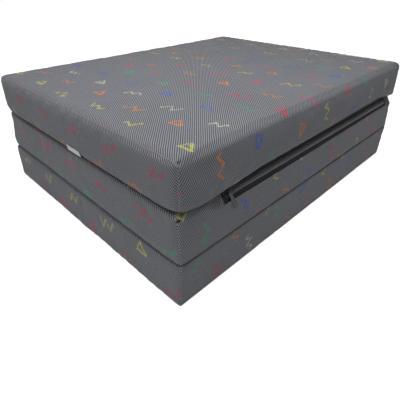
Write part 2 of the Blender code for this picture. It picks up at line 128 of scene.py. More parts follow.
# Care label
label_length = 0.048
label_rise = 0.0115
label_foot = 0.0020
label_thickness = 0.0011
label_leaf_half = 0.00015
label_stand_off = 0.0004
label_centre = 0.294
label_seat_degrees = 70
label_dome_inset = 0.0144
label_dome_rise = 0.72
label_foot_lean = 0.0016

# How far the settled cloth may move, and how much longer it is than its block
settle_step = 0.0105
settle_slack = 0.007
settle_out = 0.0012
settle_in = 0.0020
settle_side = 0.0012
settle_frames = 20
seam_hold = 0.7

# Slack that is drawn on the cloth
hollow_height = 0.0007
dent_height = 0.00035
pucker_height = 0.00050
touch_gap = 0.0001
gape_depth = 0.0012
gape_length = 0.030
back_corner_draw = 0.0050
notch_way = np.array([0.70, 0.70, 0.12])

# Foam, a little in from the cloth
foam_inset = 0.0045
foam_end = side_plane - 0.0060
foam_end_radius = 0.004
foam_under_band = 0.0052

# Hinge seams
bead_radius = 0.00115
bead_end = 0.3945
gather_pitch = 0.0062

# Zipper tapes, coil and threads, over the band's plane
tape_inner = 0.0009
tape_outer = 0.0141
tape_top = -0.00152
tape_thickness = 0.00056
tape_sink = 0.00011
tape_rib_height = 0.00005
tape_rib_pitch = 0.00074
tape_wave = 0.00006
coil_pitch = 0.0020
coil_wire = 0.00048
coil_start = -0.2934
coil_end = 0.3744
coil_middle = 0.00186
coil_reach = 0.00168
coil_rise = 0.00062
coil_sink = -0.00012
coil_lean = 0.00022
topstitch_setback = 0.0016
coil_stitch_place = 0.0046
coil_stitch_height = -0.00130

# The band's middle, and its directions uphill and outward, as (y, z) and in space
slope_yz = np.array([math.sin(zip_tilt), math.cos(zip_tilt)])
out_yz = np.array([-math.cos(zip_tilt), math.sin(zip_tilt)])
band_centre = Vector((0.0, front_plane + mating_setback + front_recess + zip_depth / 2,
                      2 * panel_thickness - mating_setback - zip_drop / 2))
band_uphill = Vector((0.0, *slope_yz))
band_out = Vector((0.0, *out_yz))


def smooth_step(value):
    held = np.clip(value, 0.0, 1.0)
    return held * held * (3 - 2 * held)


def swell(share, power=3):
    return 1 - np.abs(2 * np.clip(share, 0.0, 1.0) - 1) ** power


def fading(distance, reach):
    return np.exp(-np.maximum(distance, 0) / reach)


def lattice_random(cells, seed):
    """A repeatable number from -1 to 1 for each whole-numbered cell."""
    mixed = (cells[..., 0] * 73856093) ^ (cells[..., 1] * 19349663) ^ (cells[..., 2] * 83492791)
    mixed = (mixed + seed * 2654435761) & 0xFFFFFFFF
    mixed = (mixed ^ (mixed >> 15)) * 2246822519 & 0xFFFFFFFF
    mixed = (mixed ^ (mixed >> 13)) * 3266489917 & 0xFFFFFFFF
    mixed = mixed ^ (mixed >> 16)
    return mixed / 0x7FFFFFFF - 1.0


def smooth_noise(points, size, seed):
    """Smooth noise from -1 to 1 with features of the given size, at an array of points."""
    scaled = np.asarray(points, float) / np.asarray(size, float)
    base = np.floor(scaled).astype(np.int64)
    part = smooth_step(scaled - base)
    total = np.zeros(scaled.shape[:-1])
    for corner in range(8):
        step = np.array([corner & 1, corner >> 1 & 1, corner >> 2 & 1])
        weight = np.prod(np.where(step, part, 1 - part), axis=-1)
        total += weight * lattice_random(base + step, seed)
    return total


def new_mesh_object(name, verts, faces, material, smooth=True):
    mesh = bpy.data.meshes.new(name)
    mesh.from_pydata([tuple(v) for v in verts], [], faces)
    mesh.materials.append(material)
    mesh.polygons.foreach_set("use_smooth", [smooth] * len(mesh.polygons))
    mesh.update()
    thing = bpy.data.objects.new(name, mesh)
    bpy.context.scene.collection.objects.link(thing)
    return thing


def tidy_normals(thing):
    bm = bmesh.new()
    bm.from_mesh(thing.data)
    bmesh.ops.recalc_face_normals(bm, faces=bm.faces)
    bm.to_mesh(thing.data)
    bm.free()
    return thing


def closed_skin(name, sections, material):
    """A closed skin through rings of points, with a cap on the first and on the last."""
    count = len(sections[0])
    last = (len(sections) - 1) * count
    faces = []
    for start in range(0, last, count):
        for p in range(count):
            q = (p + 1) % count
            faces.append((start + p, start + count + p, start + count + q, start + q))
    faces.append(tuple(range(count)))
    faces.append(tuple(range(last, last + count))[::-1])
    return tidy_normals(new_mesh_object(name, np.reshape(sections, (-1, 3)), faces, material))


class Number:
    """A number that nodes work out. A sum with it adds a math node."""

    def __init__(self, graph, socket):
        self.graph, self.socket = graph, socket

    def __add__(self, other):
        return self.graph.math("ADD", self, other)

    def __sub__(self, other):
        return self.graph.math("SUBTRACT", self, other)

    def __rsub__(self, other):
        return self.graph.math("SUBTRACT", other, self)

    def __mul__(self, other):
        return self.graph.math("MULTIPLY", self, other)

    def __truediv__(self, other):
        return self.graph.math("DIVIDE", self, other)

    def __abs__(self):
        return self.graph.math("ABSOLUTE", self)


class Graph:
    """Short calls for building the nodes of a material or of the world."""

    def __init__(self, name, kind="materials"):
        self.owner = getattr(bpy.data, kind).new(name)
        self.owner.use_nodes = True
        self.tree = self.owner.node_tree
        self.shader = self.tree.nodes.get("Principled BSDF")

    def node(self, kind, **settings):
        made = self.tree.nodes.new(kind)
        for key, value in settings.items():
            setattr(made, key, value)
        return made

    def put(self, socket, value):
        if isinstance(value, Number):
            value = value.socket
        if isinstance(value, bpy.types.NodeSocket):
            self.tree.links.new(value, socket)
        elif value is not None:
            socket.default_value = value

    def fill(self, made, *values):
        """Puts values in the first sockets of a node, and gives its first output."""
        for socket, value in zip(made.inputs, values):
            self.put(socket, value)
        return made.outputs[0]

    def fill_named(self, made, **values):
        for key, value in values.items():
            self.put(made.inputs[key.replace("_", " ")], value)
        return made.outputs[0]

    def math(self, operation, *values, clamp=False):
        made = self.node("ShaderNodeMath", operation=operation, use_clamp=clamp)
        return Number(self, self.fill(made, *values))

    def sine(self, value, period):
        return self.math("SINE", value * (2 * math.pi / period))

    def step(self, value, low, high, to_low=0.0, to_high=1.0):
        made = self.node("ShaderNodeMapRange", interpolation_type="SMOOTHSTEP")
        return Number(self, self.fill(made, value, low, high, to_low, to_high))

    def mix(self, factor, first, second):
        made = self.node("ShaderNodeMix", data_type="RGBA", blend_type="MIX")
        self.put(made.inputs["Factor"], factor)
        self.put(made.inputs[6], first)
        self.put(made.inputs[7], second)
        return made.outputs[2]

    def noise(self, vector, scale, detail=2.0, roughness=0.5):
        made = self.node("ShaderNodeTexNoise")
        self.fill_named(made, Vector=vector, Scale=scale, Detail=detail, Roughness=roughness)
        return Number(self, made.outputs["Fac"])

    def place(self):
        return self.node("ShaderNodeTexCoord").outputs["Object"]

    def combine(self, x, y):
        return self.fill(self.node("ShaderNodeCombineXYZ"), x, y)

    def split(self, vector):
        made = self.node("ShaderNodeSeparateXYZ")
        self.put(made.inputs[0], vector)
        return [Number(self, socket) for socket in made.outputs]

    def ramp(self, factor, stops):
        """A colour for each stretch of the factor, without blending."""
        made = self.node("ShaderNodeValToRGB")
        made.color_ramp.interpolation = "CONSTANT"
        while len(made.color_ramp.elements) < len(stops):
            made.color_ramp.elements.new(0.5)
        for element, (place, colour) in zip(made.color_ramp.elements, stops):
            element.position = place
            element.color = (*colour, 1.0)
        return self.fill(made, factor)

    def bump(self, height, strength, distance):
        made = self.node("ShaderNodeBump")
        return self.fill_named(made, Height=height, Strength=strength, Distance=distance)

    def finish(self, colour, roughness, normal=None, **constants):
        self.fill_named(
            self.shader, Base_Color=colour, Roughness=roughness, Normal=normal, **constants)
        return self.owner


def motif_mask(graph, u, v):
    """Thin woven zigzags and ticks in staggered columns: (mask, number for the column's colour)."""
    column_pitch, row_pitch, stagger = 0.0455, 0.1180, 0.43
    wobble, stroke_edge = 0.0085, 0.0026
    place = graph.combine(u, v)
    thick = graph.noise(place, 95.0, 1.0)
    stroke_inner = graph.step(thick, 0.3, 0.7, 0.0005, 0.0021)
    stroke_outer = stroke_inner + stroke_edge
    u = graph.math("MULTIPLY_ADD", graph.noise(place, 120.0) - 0.5, wobble, u)
    v = graph.math("MULTIPLY_ADD", graph.noise(place, 131.0) - 0.5, wobble, v)
    column = u / column_pitch
    column_index = graph.math("FLOOR", column)
    across = (graph.math("FRACT", column) - 0.5) * column_pitch
    row = v / row_pitch + column_index * stagger
    row_index = graph.math("FLOOR", row)
    along = (graph.math("FRACT", row) - 0.5) * row_pitch
    pick = graph.node("ShaderNodeTexWhiteNoise", noise_dimensions="2D")
    graph.put(pick.inputs["Vector"], graph.combine(column_index, row_index))
    one, two, three = graph.split(pick.outputs["Color"])
    across = across + (one - 0.5) * 0.010
    along = along + (two - 0.5) * 0.022
    turn = (three - 0.5) * 0.9
    cosine, sinus = graph.math("COSINE", turn), graph.math("SINE", turn)
    far = along * cosine + across * sinus
    side = across * cosine - along * sinus

    def stroke(gap, half_length):
        drawn = graph.step(gap, stroke_inner, stroke_outer, 1.0, 0.0)
        return drawn * graph.math("LESS_THAN", abs(far), half_length)

    fold = graph.math("MULTIPLY_ADD", one, 0.005, 0.0085)
    slope = graph.math("MULTIPLY_ADD", two, 0.8, 1.05)
    zig = graph.math("PINGPONG", far + three * 0.02, fold) - fold * 0.5
    zig_half = graph.math("MULTIPLY_ADD", two, 0.008, 0.0165)
    zig_mask = stroke(abs(side - zig * slope), zig_half)

    leg = (far + 0.012) * 0.42
    tick_arms = stroke(abs(abs(side) - leg), 0.0125)
    bar = graph.step(abs(far - 0.0115), 0.0012, 0.0019, 1.0, 0.0)
    bar = bar * graph.math("LESS_THAN", abs(side + 0.003), 0.0085)
    tick_mask = graph.math("MAXIMUM", tick_arms, bar)

    kind = graph.math("GREATER_THAN", three, 0.68)
    mask = graph.math("ADD", zig_mask * (1.0 - kind), tick_mask * kind, clamp=True)
    number = graph.math("FRACT", graph.math("MULTIPLY_ADD", column_index, 0.382, 0.07))
    return mask, number


def cover_cloth_material():
    """Grey twill of light dashes on dark threads, with thin coloured zigzags woven in."""
    graph = Graph("cover_cloth_twill")
    u, v, _ = graph.split(graph.node("ShaderNodeUVMap", uv_map="cloth").outputs[0])
    shift = (graph.noise(graph.combine(u, v), 38.0, 1.0) - 0.5) * 0.0016
    ribs = graph.sine(u - v + shift, 0.0047)
    dashes = graph.sine(u + v + shift, 0.0036)
    fuzz = graph.noise(graph.combine(u, v), 900.0, 2.0, 0.6)
    thread = ribs * 0.62 + dashes * 0.30 + (fuzz - 0.5) * 1.1
    mask, number = motif_mask(graph, u, v)
    motif = graph.ramp(number, (
        (0.0, (0.66, 0.035, 0.085)),
        (0.17, (0.62, 0.58, 0.13)),
        (0.33, (0.040, 0.13, 0.60)),
        (0.50, (0.75, 0.24, 0.045)),
        (0.66, (0.045, 0.40, 0.20)),
        (0.80, (0.66, 0.050, 0.15)),
        (0.90, (0.62, 0.62, 0.42)),
    ))
    large = graph.noise(graph.combine(u, v), 9.0)
    light = graph.mix(large, (0.266, 0.274, 0.300, 1), (0.315, 0.323, 0.350, 1))
    dark = graph.mix(large, (0.037, 0.038, 0.048, 1), (0.050, 0.052, 0.062, 1))
    light = graph.mix(mask * 0.80, light, motif)
    dark = graph.mix(mask * 0.46, dark, motif)
    colour = graph.mix(graph.step(thread, -0.55, 0.65), dark, light)
    normal = graph.bump(thread * 0.5 + mask * 0.35, 0.35, 0.0006)
    roughness = graph.step(thread, -1.0, 1.0, 0.92, 0.74)
    return graph.finish(colour, roughness, normal, Sheen_Weight=0.12, Sheen_Roughness=0.5,
                        Specular_IOR_Level=0.3)


def foam_material():
    graph = Graph("foam_open_cell")
    place = graph.place()
    cells = graph.node("ShaderNodeTexVoronoi")
    graph.fill_named(cells, Vector=place, Scale=520.0)
    tone = graph.noise(place, 14.0, 3.0)
    colour = graph.mix(tone, (0.80, 0.71, 0.46, 1), (0.88, 0.82, 0.62, 1))
    # painted shade: the hollows of the open cells are darkened
    painted_pore_shade = graph.step(cells.outputs["Distance"], 0.0, 0.5, 0.45, 0.0)
    colour = graph.mix(painted_pore_shade, colour, (0.50, 0.42, 0.24, 1))
    normal = graph.bump(cells.outputs["Distance"], 0.5, 0.0006)
    return graph.finish(colour, graph.step(tone, 0.2, 0.8, 0.9, 1.0), normal, Sheen_Weight=0.1)


def plain_weave_material(name, light, dark, period, roughness, depth, **constants):
    """Fine plain weave on object coordinates, for tapes, seam cloth and ribbon."""
    graph = Graph(name)
    place = graph.place()
    x, y, z = graph.split(place)
    woven = graph.sine(x, period) * graph.sine(y + z * 1.3, period)
    height = woven * 0.5 + graph.noise(place, 1500.0)
    mixed = height * 0.6 + graph.noise(place, 30.0) * 0.4
    colour = graph.mix(graph.step(mixed, 0.1, 0.9), dark, light)
    normal = graph.bump(height, 0.5, depth)
    rough = graph.step(mixed, 0.0, 1.0, roughness + 0.06, roughness - 0.08)
    return graph.finish(colour, rough, normal, **constants)


def nylon_coil_material():
    """Dark nylon, with a painted highlight: the lower row is paler."""
    graph = Graph("zipper_coil_nylon_painted_highlight")
    place = graph.place()
    tone = graph.noise(place, 180.0, 3.0)
    _, y, z = graph.split(place)
    along = (y - band_centre.y) * band_uphill.y + (z - band_centre.z) * band_uphill.z
    # painted highlight: the lower row of the coil gets a paler colour than the upper row
    low = graph.step(along, -0.0022, -0.0004, 1.0, 0.0)
    upper = graph.mix(tone, (0.085, 0.088, 0.100, 1), (0.155, 0.160, 0.178, 1))
    lower = graph.mix(tone, (0.24, 0.243, 0.260, 1), (0.36, 0.365, 0.385, 1))
    normal = graph.bump(graph.noise(place, 2600.0), 0.2, 0.0001)
    colour = graph.mix(low, upper, lower)
    roughness = graph.step(tone, 0.2, 0.8, 0.26, 0.42)
    return graph.finish(colour, roughness, normal, Specular_IOR_Level=0.6)


def gunmetal_material():
    graph = Graph("zipper_metal_gunmetal")
    place = graph.place()
    tone = graph.noise(place, 260.0, 4.0)
    specks = graph.noise(place, 2200.0, 3.0, 0.7)
    colour = graph.mix(tone, (0.026, 0.028, 0.034, 1), (0.052, 0.056, 0.066, 1))
    edge = graph.node("ShaderNodeNewGeometry").outputs["Pointiness"]
    worn = graph.step(edge, 0.52, 0.62) * graph.step(specks, 0.4, 0.6)
    colour = graph.mix(worn * 0.5, colour, (0.22, 0.22, 0.24, 1))
    normal = graph.bump(specks, 0.15, 0.0001)
    return graph.finish(colour, graph.step(specks, 0.3, 0.7, 0.36, 0.54), normal, Metallic=0.6)


def floor_material():
    """A pale floor that glows a little where it is seen, to meet the white backdrop."""
    graph = Graph("studio_floor")
    tone = graph.noise(graph.place(), 0.7)
    colour = graph.mix(tone, (0.58, 0.58, 0.58, 1), (0.62, 0.62, 0.62, 1))
    graph.finish(colour, 0.9, Specular_IOR_Level=0.0)
    path = graph.node("ShaderNodeLightPath")
    seen = graph.math("MAXIMUM", path.outputs["Is Camera Ray"], path.outputs["Is Glossy Ray"])
    seen = graph.math("MAXIMUM", seen, path.outputs["Is Transmission Ray"])
    glow = graph.fill_named(graph.node("ShaderNodeEmission"), Strength=seen * 0.90)
    added = graph.fill(graph.node("ShaderNodeAddShader"), graph.shader.outputs[0], glow)
    graph.put(graph.tree.nodes["Material Output"].inputs["Surface"], added)
    return graph.owner


def arc(centre, radius, first, last, steps):
    angles = np.radians(np.linspace(first, last, steps + 1))
    return np.stack([centre[0] + radius * np.cos(angles), centre[1] + radius * np.sin(angles)], 1)


def inner_shares(count):
    return np.linspace(0, 1, count + 2)[1:-1]


def bend(corner, back_along, ahead_along, tangent, steps):
    corner = np.asarray(corner)
    start = corner + np.asarray(back_along) * tangent
    end = corner + np.asarray(ahead_along) * tangent
    shares = np.linspace(0, 1, steps + 1)[:, None]
    return start * (1 - shares) ** 2 + 2 * corner * shares * (1 - shares) + end * shares ** 2


def channel_profile():
    """Half the slot under the zipper, from its lower lip in: (along the band, height over it)."""
    r = zip_fold_radius
    points = [(-zip_lip - r, 0.0)]
    for degrees in (45, 90, 135, 180):
        angle = math.radians(degrees)
        points.append((-zip_lip - r + r * math.sin(angle), -r + r * math.cos(angle)))
    points += [(-zip_under, -2 * r), (-zip_under - 0.0002, -(2 * r + zip_floor) / 2)]
    return points + [(-along, -zip_floor) for along in (zip_under, zip_lip * 0.66, zip_lip * 0.33)]


def lower_share(x):
    """How far down the zipper's lower lip lies, as a share of its usual distance, less at right."""
    falls = float(smooth_step((x + 0.15) / 0.35)) + float(smooth_step((x - 0.15) / 0.22))
    return 1.12 - 0.12 * falls


half_slot = channel_profile()


class Cover:
    """One panel's cover as a closed skin: a strip round the block, and a gusset in each end."""

    def __init__(self, name, body, faces, radii, crowns, recesses, end_radius, zipped, cloth_from,
                 corner_radii, side_rounding=0.0, notch=None):
        self.name, self.body, self.faces = name, body, faces
        self.y_front, self.y_back, self.z_low, self.z_high = faces
        self.front_low, self.front_high, self.back_low, self.back_high = radii
        self.crown_front, self.crown_back, self.crown_top = crowns
        self.recess_low, self.recess_high = recesses
        self.end_radius, self.zipped, self.cloth_from = end_radius, zipped, cloth_from
        self.corner_radii, self.side_rounding, self.notch = corner_radii, side_rounding, notch
        self.divide(cloth_step)

    def divide(self, step):
        self.step = step
        self.long_count, self.short_count = int(0.60 / step), int(0.060 / step)

    def band_corner(self, y_front, z_top, inset, x, open_slot):
        """The zipped edge: a plain rounding that turns into the band, and its slot where open."""
        blend = float(smooth_step((x - zip_band_from + zip_blend_length) / zip_blend_length))
        blend *= float(smooth_step((side_plane - right_tip_margin - x) / right_tip_length))
        steepness = math.hypot(1 / zip_drop, 1 / zip_depth)
        kept = 1 + inset * (steepness - 1 / zip_drop - 1 / zip_depth)
        lower = np.array([y_front, z_top - kept * zip_drop])
        upper = np.array([y_front + kept * zip_depth, z_top])
        fillet = max(zip_fillet - inset, least_radius)
        low_tangent = fillet * math.tan(zip_tilt / 2)
        high_tangent = fillet * math.tan(math.pi / 4 - zip_tilt / 2)
        low_bend = bend(lower, (0, -1), slope_yz, low_tangent, 3)
        high_bend = bend(upper, -slope_yz, (1, 0), high_tangent, 3)
        middle = (lower + upper) / 2
        reach = min(zip_lip + zip_fold_radius, np.linalg.norm(upper - lower) * 0.41)
        flat_along = np.linspace(-reach, 0, len(half_slot) + 1)[:-1]
        slot = [
            (plain + (along - plain) * open_slot, height * open_slot)
            for (along, height), plain in zip(half_slot, flat_along)
        ]
        share = 1 + (lower_share(x) - 1) * open_slot
        whole = [(along * share, height) for along, height in slot]
        whole.append((0.0, -zip_floor * open_slot))
        whole += [(-along, height) for along, height in reversed(slot)]
        slot_points = np.array([
            middle + along * slope_yz + height * out_yz for along, height in whole
        ])
        band = np.concatenate([low_bend, slot_points, high_bend])
        radius = max((right_tip_radius if x > 0 else zip_plain_radius) - inset, least_radius)
        plain = arc((y_front + radius, z_top - radius), radius, 180, 90, len(band) - 1)
        return plain * (1 - blend) + band * blend

    def sides(self, x, inset=0.0, open_slot=0.0, crowned=True):
        """The section at x as runs of points that share their ends: bottom, front, top, back."""
        y0, y1 = self.y_front + inset, self.y_back - inset
        z0, z1 = self.z_low + inset, self.z_high - inset
        lifted = self.name == "top"
        front_low = float(np.interp(x, lift_places, lift_radii)) if lifted else self.front_low
        fl, fh, bl, bh = (
            max(r - inset, least_radius)
            for r in (front_low, self.front_high, self.back_low, self.back_high)
        )
        low_front, high_front = y0 + self.recess_low, y0 + self.recess_high
        n = corner_steps
        straight = side_plane - self.end_radius
        along = float(swell((x + straight) / (2 * straight))) if crowned else 0.0

        def flat_run(start, end, count, axis=0, crown=0.0):
            shares = inner_shares(count)
            run = np.asarray(start) * (1 - shares[:, None]) + np.asarray(end) * shares[:, None]
            run[:, axis] += crown * swell(shares) * along
            return run

        corner_low = arc((low_front + fl, z0 + fl), fl, 270, 180, 2 * n)
        corner_back_high = arc((y1 - bh, z1 - bh), bh, 90, 0, 2 * n)
        corner_back_low = arc((y1 - bl, z0 + bl), bl, 0, -90, 2 * n)
        if self.zipped:
            corner_high = self.band_corner(high_front, z1, inset, x, open_slot)
        else:
            corner_high = arc((high_front + fh, z1 - fh), fh, 180, 90, 2 * n)
        half = len(corner_high) // 2
        extra = half - n
        long_count, short_count = self.long_count, self.short_count
        front = flat_run((low_front, z0 + fl), corner_high[0], short_count, 0, -self.crown_front)
        top = flat_run(corner_high[-1], corner_back_high[0], long_count, 1, self.crown_top)
        back = flat_run(
            corner_back_high[-1], corner_back_low[0], short_count + extra, 0, self.crown_back)
        bottom = flat_run(corner_back_low[-1], corner_low[0], long_count + extra)
        return (
            np.concatenate([corner_back_low[n:], bottom, corner_low[:n + 1]]),
            np.concatenate([corner_low[n:], front, corner_high[:half + 1]]),
            np.concatenate([corner_high[half:], top, corner_back_high[:n + 1]]),
            np.concatenate([corner_back_high[n:], back, corner_back_low[:n + 1]]),
        )

    def ring(self, x, inset=0.0, open_slot=0.0, crowned=True):
        return np.concatenate([side[:-1] for side in self.sides(x, inset, open_slot, crowned)])

    def ring_in_space(self, x, inset, open_slot=0.0):
        ring = self.ring(x, inset, open_slot)
        return np.column_stack([np.full(len(ring), x), ring])

    def stations(self):
        """(x, inset, share of the slot that is open, degrees round the end) of each ring."""
        r = self.end_radius
        ends = []
        for degrees in end_degrees:
            angle = math.radians(degrees)
            inset = r - r * math.cos(angle)
            ends.append((side_plane - r + r * math.sin(angle), inset, 0.0, degrees))
        count = int((2 * side_plane - 2 * r) / self.step)
        inner = np.linspace(-side_plane + r, side_plane - r, count)
        places = [float(x) for x in inner]
        if self.zipped:
            places += [zip_left - slot_ramp, zip_left, zip_right, zip_right + slot_ramp]
            places = sorted(places + list(right_tip_places))
            places = [
                x for index, x in enumerate(places)
                if index == 0 or x - places[index - 1] > least_ring_gap
            ]
        left = [(-x, inset, slot, degrees) for x, inset, slot, degrees in ends]
        return left + [(x, 0.0, self.slot_at(x), 0) for x in places] + ends[::-1]

    def slot_at(self, x):
        return float(self.zipped and self.step == cloth_step and zip_left <= x <= zip_right)

    def build(self, material):
        """Makes the cover's mesh, with the cloth's own coordinates as a UV map."""
        stations = self.stations()
        rings = [self.ring_in_space(x, inset, slot) for x, inset, slot, _ in stations]
        count = len(rings[0])
        verts = np.concatenate(rings)
        faces, uvs = [], []
        flat_ring = self.ring(0.0, crowned=False)
        steps = np.linalg.norm(np.roll(flat_ring, -1, 0) - flat_ring, axis=1)
        around = np.concatenate([[0.0], np.cumsum(steps)]) + self.cloth_from[1]
        gaps = [
            math.hypot(two[0] - one[0], two[1] - one[1]) for one, two in zip(stations, stations[1:])
        ]
        lengths = np.concatenate([[0.0], np.cumsum(gaps)])
        lengths += self.cloth_from[0] - lengths[-1] / 2
        for s, (one, two) in enumerate(zip(stations, stations[1:])):
            left_end = (one[0] < 0 and one[3] > seam_degrees
                        or two[0] < 0 and two[3] >= seam_degrees)
            right_end = two[0] > 0 and two[3] > seam_degrees
            for p in range(count):
                q = (p + 1) % count
                face = (s * count + p, (s + 1) * count + p, (s + 1) * count + q, s * count + q)
                faces.append(face)
                if left_end or right_end:
                    uvs.append([self.gusset_uv(verts[i], right_end) for i in face])
                else:
                    uvs.append([
                        (lengths[s], around[p]), (lengths[s + 1], around[p]),
                        (lengths[s + 1], around[p + 1]), (lengths[s], around[p + 1]),
                    ])
        side_lengths = [len(side) - 1 for side in self.sides(0.0)]
        for ring_start, right_end in ((0, False), ((len(stations) - 1) * count, True)):
            grid, points = self.end_grid(ring_start, side_lengths, verts)
            verts = np.concatenate([verts, points])
            for i in range(grid.shape[0] - 1):
                for j in range(grid.shape[1] - 1):
                    quad = (grid[i, j], grid[i + 1, j], grid[i + 1, j + 1], grid[i, j + 1])
                    if not right_end:
                        quad = quad[::-1]
                    faces.append(tuple(int(k) for k in quad))
                    uvs.append([self.gusset_uv(verts[k], right_end) for k in quad])
        thing = new_mesh_object("cover_" + self.name, verts, faces, material)
        layer = thing.data.uv_layers.new(name="cloth")
        layer.data.foreach_set("uv", np.array(uvs, float).ravel())
        self.stations_used, self.ring_count = stations, count
        self.thing = tidy_normals(thing)
        return thing

    def degrees_of_points(self):
        """How far round the end each point of the rings lies."""
        return np.repeat([station[3] for station in self.stations_used], self.ring_count)

    def gusset_uv(self, point, right_end):
        flip = -1 if right_end else 1
        along, around = self.cloth_from
        return (point[2] + along * 0.7 + 0.013, flip * point[1] + around * 0.6)

    def end_grid(self, start, side_lengths, verts):
        """A grid of vertex numbers that fills the end ring, with the new points of its inside."""
        bottom_n, front_n, top_n, back_n = side_lengths
        b0, f0 = start, start + bottom_n
        t0, k0 = f0 + front_n, f0 + front_n + top_n
        # i runs from back to front, j from low to high
        low = [b0 + i for i in range(bottom_n + 1)]
        front = [f0 + j for j in range(front_n + 1)]
        high = [t0 + top_n - i for i in range(top_n + 1)]
        back = [k0 + back_n - j for j in range(back_n + 1)]
        back[0] = b0
        grid = np.zeros((bottom_n + 1, front_n + 1), int)
        grid[:, 0], grid[:, -1] = low, high
        grid[-1, :], grid[0, :] = front, back
        points = []
        sign = -1 if verts[start][0] < 0 else 1
        for i in range(1, bottom_n):
            s = i / bottom_n
            for j in range(1, front_n):
                t = j / front_n
                edge = (1 - t) * verts[low[i]] + t * verts[high[i]]
                edge = edge + (1 - s) * verts[back[j]] + s * verts[front[j]]
                corners = (1 - s) * (1 - t) * verts[low[0]] + s * (1 - t) * verts[low[-1]]
                corners = corners + (1 - s) * t * verts[high[0]] + s * t * verts[high[-1]]
                point = edge - corners
                point[0] += sign * side_crown * float(swell(s, 8) * swell(t, 3.3))
                grid[i, j] = len(verts) + len(points)
                points.append(point)
        return grid, np.array(points)

    def inside(self, points, axis, is_far):
        """How far points lie inside the near or the far face across y (1) or z (2)."""
        face = self.faces[2 * axis - 2 + is_far]
        return face - points[:, axis] if is_far else points[:, axis] - face


def coordinates_of(thing):
    flat = np.empty(len(thing.data.vertices) * 3)
    thing.data.vertices.foreach_get("co", flat)
    return flat.reshape(-1, 3)


def normals_of(thing):
    flat = np.empty(len(thing.data.vertices) * 3, np.float32)
    thing.data.vertex_normals.foreach_get("vector", flat)
    return flat.reshape(-1, 3).astype(float)


def touching(cover, points):
    """Where the cover lies on a neighbour or the floor, and where it meets one as folds open."""
    _, y, z = points.T
    lies = z < cover.z_low + lie_depth
    meets = np.zeros(len(points), bool)
    if cover.name != "top":
        lies |= z > cover.z_high - lie_depth
        meets |= y < cover.y_front + meet_front
    if cover.name != "bottom":
        meets |= y > cover.y_back - meet_back
    return lies, meets


def place_on_band(points):
    """How far along the band's slope, and how high over its plane, points lie."""
    from_centre = points - np.array(band_centre)
    return from_centre @ np.array(band_uphill), from_centre @ np.array(band_out)


def on_band(cover, points):
    """Where the zipper's band is, which stays flat."""
    along, height = place_on_band(points)
    near = (np.abs(height) < flat_height) & (np.abs(along) < flat_half_width)
    return near & (points[:, 0] > zip_left - flat_margin) & cover.zipped


def settle(cover, material):
    """Lets a coarser copy of the cloth settle round its filling: its places and their moves."""
    coarse = copy.copy(cover)
    coarse.divide(settle_step)
    thing = coarse.build(material)
    start = coordinates_of(thing)
    lies, _ = touching(cover, start)
    held = lies | on_band(cover, start)
    group = thing.vertex_groups.new(name="held")
    group.add([int(i) for i in np.flatnonzero(held)], 1.0, "REPLACE")
    seam = np.zeros(len(start), bool)
    degrees = coarse.degrees_of_points()
    seam[:len(degrees)] = degrees == seam_degrees
    group.add([int(i) for i in np.flatnonzero(seam & ~held)], seam_hold, "REPLACE")
    modifier = thing.modifiers.new("settling", "CLOTH")
    cloth_settings = modifier.settings
    cloth_settings.quality = 5
    cloth_settings.mass = 0.25
    cloth_settings.tension_stiffness = 20
    cloth_settings.compression_stiffness = 20
    cloth_settings.shear_stiffness = 6
    cloth_settings.bending_stiffness = 0.3
    cloth_settings.air_damping = 3
    cloth_settings.use_pressure = True
    cloth_settings.uniform_pressure_force = 4
    cloth_settings.shrink_min = -settle_slack
    cloth_settings.vertex_group_mass = "held"
    cloth_settings.effector_weights.gravity = 0
    modifier.point_cache.frame_start = 1
    modifier.point_cache.frame_end = settle_frames
    scene = bpy.context.scene
    for number in range(1, settle_frames + 1):
        scene.frame_set(number)
    end = coordinates_of(thing.evaluated_get(bpy.context.evaluated_depsgraph_get()))
    scene.frame_set(1)
    mesh = thing.data
    bpy.data.objects.remove(thing, do_unlink=True)
    bpy.data.meshes.remove(mesh)
    return start, end - start


def spread_moves(points, places, moves):
    """The settled moves at other points, from the four places nearest to each."""
    tree = KDTree(len(places))
    for index, place in enumerate(places):
        tree.insert(place, index)
    tree.balance()
    result = np.zeros_like(points)
    for index, point in enumerate(points):
        found = tree.find_n(point, 4)
        weights = np.array([1 / (distance + 0.0005) for _, _, distance in found])
        result[index] = weights @ moves[[number for _, number, _ in found]] / weights.sum()
    return result


def soften_corners(cover, points, within=0.0):
    """Rounds the block's corners more than its edges, as filled cloth does, the left ones most."""
    size = np.where(points[:, 0] > 0, right_corner_share, 1.0)

    def side_in():
        return side_plane - np.abs(points[:, 0])

    def round_off(from_side, faces, radius, fades=False):
        """Draws points in onto a rounding between the end and faces given as (axis, is_far)."""
        inward = np.stack([from_side] + [cover.inside(points, *face) for face in faces], 1)
        reach = np.maximum(radius[:, None] - np.maximum(inward, 0.0), 0.0)
        length = np.linalg.norm(reach, axis=1)
        pull = np.maximum(length - np.maximum(radius - within, least_rounding), 0.0)
        if fades:
            span = corner_fade * radius[:, None]
            pull = pull * np.prod(smooth_step(1 - np.maximum(inward, 0) / span), axis=1)
        pull = reach / np.maximum(length, 1e-6)[:, None] * pull[:, None]
        points[:, 0] -= np.sign(points[:, 0]) * pull[:, 0]
        for (axis, is_far), move in zip(faces, pull.T[1:]):
            points[:, axis] += -move if is_far else move

    if cover.side_rounding:
        from_side = side_in()
        for is_back in (0, 1):
            round_off(from_side, [(1, is_back)], cover.side_rounding * size)
        round_off(side_in(), [(2, 1)], np.full(len(points), cover.side_rounding))
    from_side = side_in()
    for is_high, radius in enumerate(cover.corner_radii):
        for is_back in (0, 1):
            round_off(from_side, [(1, is_back), (2, is_high)], radius * size, fades=True)


